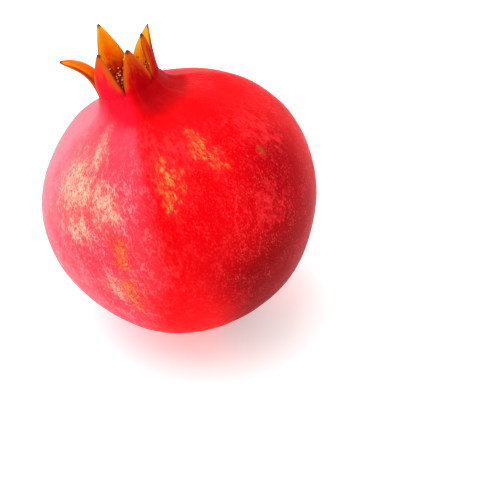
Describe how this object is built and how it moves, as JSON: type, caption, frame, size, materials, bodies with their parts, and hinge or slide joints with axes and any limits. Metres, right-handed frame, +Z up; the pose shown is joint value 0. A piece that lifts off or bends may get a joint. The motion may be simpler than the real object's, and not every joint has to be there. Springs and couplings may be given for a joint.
{
  "type": "pomegranate",
  "caption": "Whole ripe pomegranate leaning on a small flat spot, its open calyx crown holding a tuft of dried stamens and a clipped stem stump at the other end.",
  "frame": {"origin": "middle of the flat spot that the fruit rests on", "axes": "+Z up from the floor; the stem-to-crown axis leans 21.6 degrees from +Z, mostly towards -X and a little towards +Y; -Y is the front"},
  "size_m": [0.1051, 0.1061, 0.1183],
  "materials": {
    "rind": "satin, waxy red rind, turning orange and dry brown on the crown's sepals",
    "dried_stamen": "matt, dried red-brown threads"
  },
  "bodies": {
    "root": {"fruit": "rind", "stamens": "dried_stamen"}
  },
  "joints": []
}
